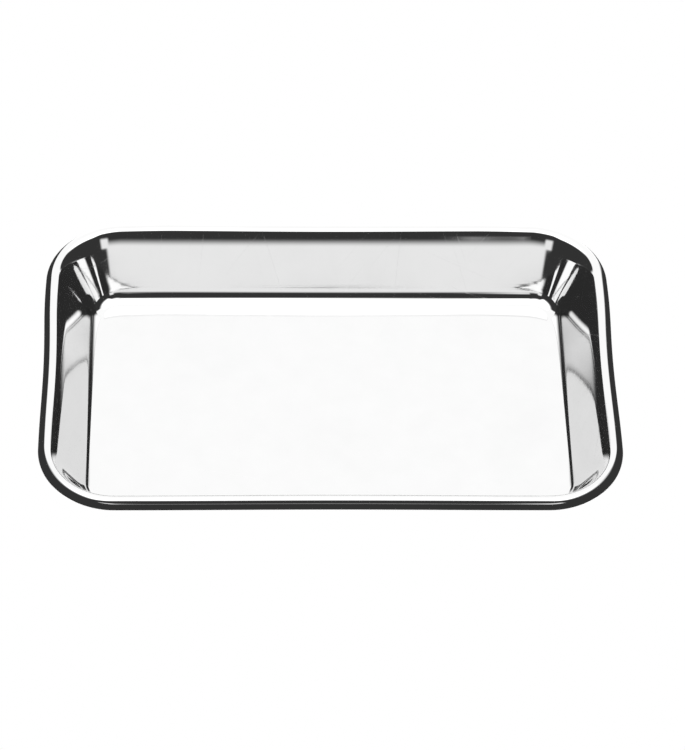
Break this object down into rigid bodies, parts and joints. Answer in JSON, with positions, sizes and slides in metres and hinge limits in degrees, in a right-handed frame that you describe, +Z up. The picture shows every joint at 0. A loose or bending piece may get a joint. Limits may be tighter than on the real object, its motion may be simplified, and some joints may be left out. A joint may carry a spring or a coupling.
{
  "type": "instrument tray",
  "caption": "Shallow rectangular stainless-steel tray with rounded corners, sloping walls that flare into a rolled rim, for laying out and carrying instruments.",
  "frame": {"origin": "under the middle of the tray, on the surface that it stands on", "axes": "+X along the long sides, +Y along the short sides towards the back, +Z up, out of the open top"},
  "size_m": [0.3, 0.2, 0.035],
  "materials": {
    "shell_steel": "mirror-polished stainless steel",
    "wire_steel": "drawn stainless-steel wire"
  },
  "bodies": {
    "root": {"tray_shell": "shell_steel", "rim_wire": "wire_steel"}
  },
  "joints": []
}
